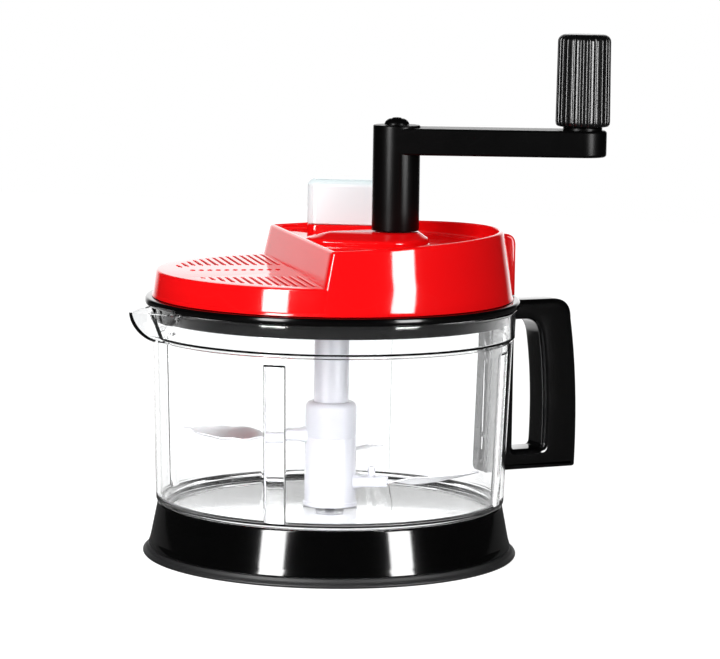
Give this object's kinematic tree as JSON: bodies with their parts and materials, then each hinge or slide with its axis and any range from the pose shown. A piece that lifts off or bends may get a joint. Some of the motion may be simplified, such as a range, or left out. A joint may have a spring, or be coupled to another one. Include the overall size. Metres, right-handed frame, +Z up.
{
  "type": "hand crank food chopper",
  "caption": "Hand cranked food chopper with a clear spouted bowl, D handle, geared crank lid with grater deck and feed chute, and a bladed rotor.",
  "frame": {"origin": "on the bowl's axis, in the plane that the foot ring stands on", "axes": "+Z up along the bowl's axis, +X out through the handle, the pouring spout towards -X"},
  "size_m": [0.2796, 0.215, 0.299],
  "materials": {
    "gloss_black": "glossy",
    "satin_black": "satin",
    "foot_rubber": "matte",
    "gloss_red": "glossy",
    "clear_plastic": "clear, glossy",
    "milk_white": "milky, glossy",
    "nylon": "satin",
    "steel": "bright"
  },
  "bodies": {
    "bowl_body": {"foot_ring": "foot_rubber", "base_ring": "gloss_black", "bowl": "clear_plastic", "blade_pin": "steel", "handle": "gloss_black", "handle_screw_upper": "steel", "handle_screw_lower": "steel"},
    "lid_body": {"gear_plate": "satin_black", "lid_cover": "gloss_red", "lid_screw_1": "steel", "lid_screw_2": "steel", "lid_screw_3": "steel", "lid_screw_4": "steel"},
    "crank_body": {"drive_gear": "nylon", "crank_arm": "satin_black", "crank_screw": "satin_black", "grip_pin": "steel"},
    "grip_body": {"grip": "satin_black"},
    "pinion_body": {"drive_pinion": "nylon"},
    "pusher_body": {"pusher": "milk_white"},
    "rotor_body": {"rotor_shaft": "milk_white", "blade_hub": "milk_white", "upper_blade": "steel", "middle_blade": "steel", "lower_blade": "steel"}
  },
  "joints": [
    {"name": "lid_lift", "type": "slide", "parent": "bowl_body", "child": "lid_body", "axis": [0, 0, 1], "range_m": [0, 0.12]},
    {"name": "crank_turn", "type": "hinge", "parent": "lid_body", "child": "crank_body", "pos_m": [0.03501, -0.0084, 0.165], "axis": [0, 0, 1], "continuous": true},
    {"name": "grip_spin", "type": "hinge", "parent": "crank_body", "child": "grip_body", "pos_m": [0.1296, -0.05557, 0.27], "axis": [0, 0, 1], "continuous": true},
    {"name": "pinion_turn", "type": "hinge", "parent": "lid_body", "child": "pinion_body", "pos_m": [0, 0, 0.145], "axis": [0, 0, 1], "continuous": true},
    {"name": "pusher_lift", "type": "slide", "parent": "lid_body", "child": "pusher_body", "axis": [0, 0, 1], "range_m": [0, 0.018]},
    {"name": "rotor_turn", "type": "hinge", "parent": "bowl_body", "child": "rotor_body", "pos_m": [0, 0, 0.08], "axis": [0, 0, 1], "continuous": true}
  ],
  "couplings": [
    {"joint": "pinion_turn", "follows": "crank_turn", "ratio": -3},
    {"joint": "rotor_turn", "follows": "crank_turn", "ratio": -3}
  ]
}
